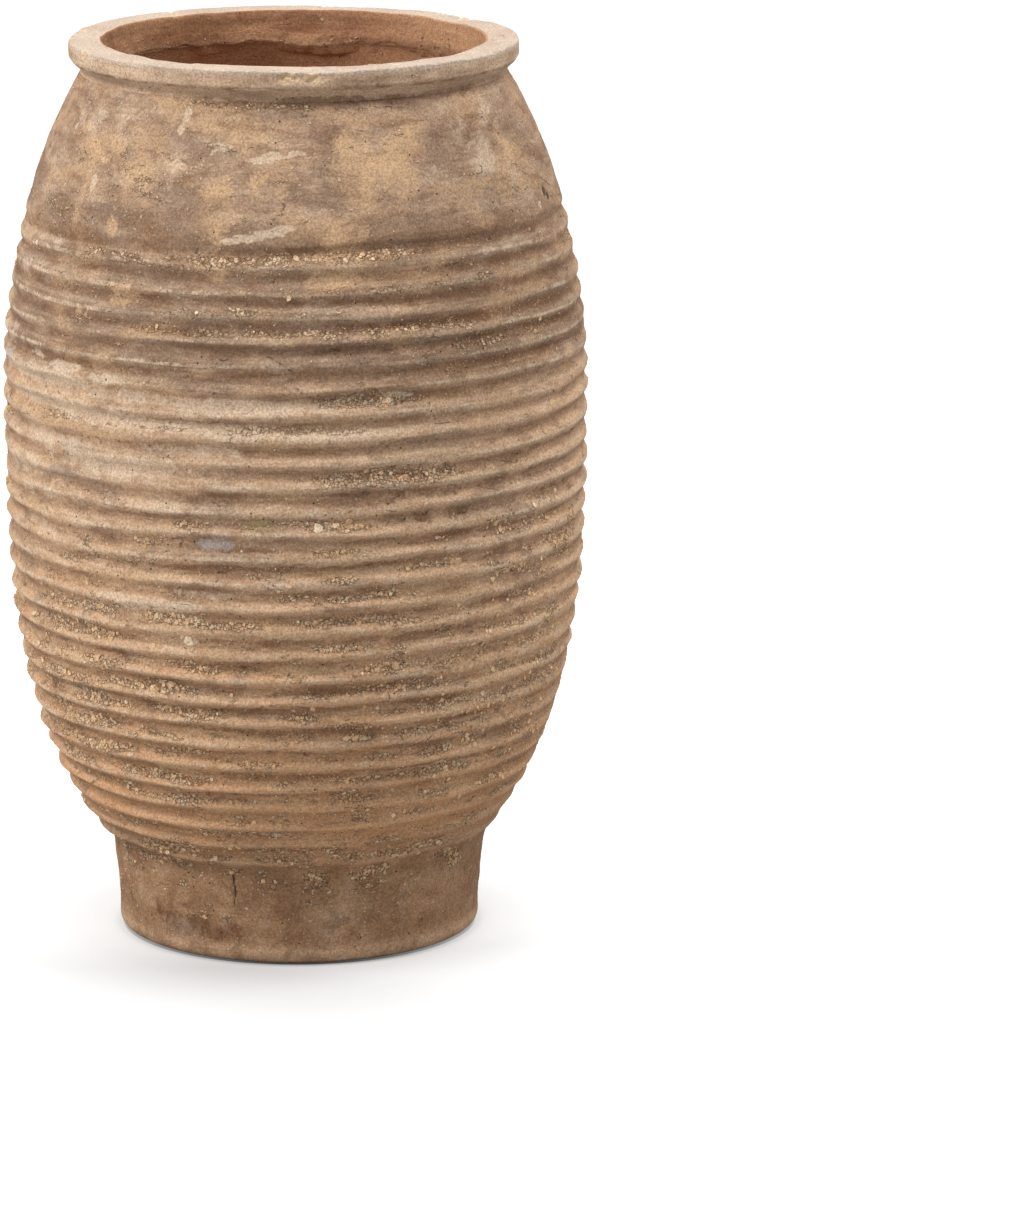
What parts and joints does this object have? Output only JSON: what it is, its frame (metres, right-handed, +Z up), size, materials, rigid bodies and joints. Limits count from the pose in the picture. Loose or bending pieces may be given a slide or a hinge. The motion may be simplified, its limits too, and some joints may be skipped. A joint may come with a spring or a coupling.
{
  "type": "ribbed storage jar",
  "caption": "Tall ribbed clay storage jar with a plain shoulder, a heavy flat lip, a wide open mouth and a narrow foot.",
  "frame": {"origin": "centre of the flat underside, on the jar's axis", "axes": "+Z up along the jar's axis towards the mouth; the pictured face looks along -Y"},
  "size_m": [0.5839, 0.584, 0.9],
  "materials": {
    "fired_clay": "weathered matt earthenware with a grey and ochre patina, lime specks and grit",
    "rim_clay": "pale worn earthenware, chipped at the edge",
    "luting_clay": "rough fired slip and clay, wiped by hand"
  },
  "bodies": {
    "root": {"base_disc": "fired_clay", "foot_ring": "fired_clay", "wall_drum_1": "fired_clay", "wall_drum_2": "fired_clay", "wall_drum_3": "fired_clay", "wall_drum_4": "fired_clay", "wall_drum_5": "fired_clay", "shoulder_ring": "fired_clay", "rim_ring": "rim_clay", "luting_coil_base": "luting_clay", "luting_coil_1": "luting_clay", "luting_coil_2": "luting_clay", "luting_coil_3": "luting_clay", "luting_coil_4": "luting_clay", "luting_coil_5": "luting_clay", "luting_coil_6": "luting_clay", "luting_coil_7": "luting_clay"}
  },
  "joints": []
}
